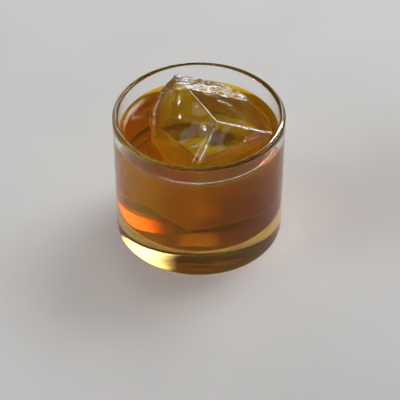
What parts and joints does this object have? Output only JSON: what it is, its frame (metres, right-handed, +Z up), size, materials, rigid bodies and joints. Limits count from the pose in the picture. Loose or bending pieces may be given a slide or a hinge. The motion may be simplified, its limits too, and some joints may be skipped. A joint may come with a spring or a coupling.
{
  "type": "old fashioned cocktail",
  "caption": "Straight-sided heavy-based tumbler of amber drink with a large hewn block of clear ice standing just proud of its surface.",
  "frame": {"origin": "centre of the glass's underside, on the surface that it stands on", "axes": "+Z up along the glass's axis, towards the rim; -Y towards the side that is seen with the ice's ridge rising away to the left"},
  "size_m": [0.085, 0.085, 0.071],
  "materials": {
    "glass": "polished clear glass",
    "drink": "clear amber liquid",
    "ice": "clear wet ice, frosted along its crest"
  },
  "bodies": {
    "root": {"glass": "glass", "drink": "drink", "ice": "ice"}
  },
  "joints": []
}
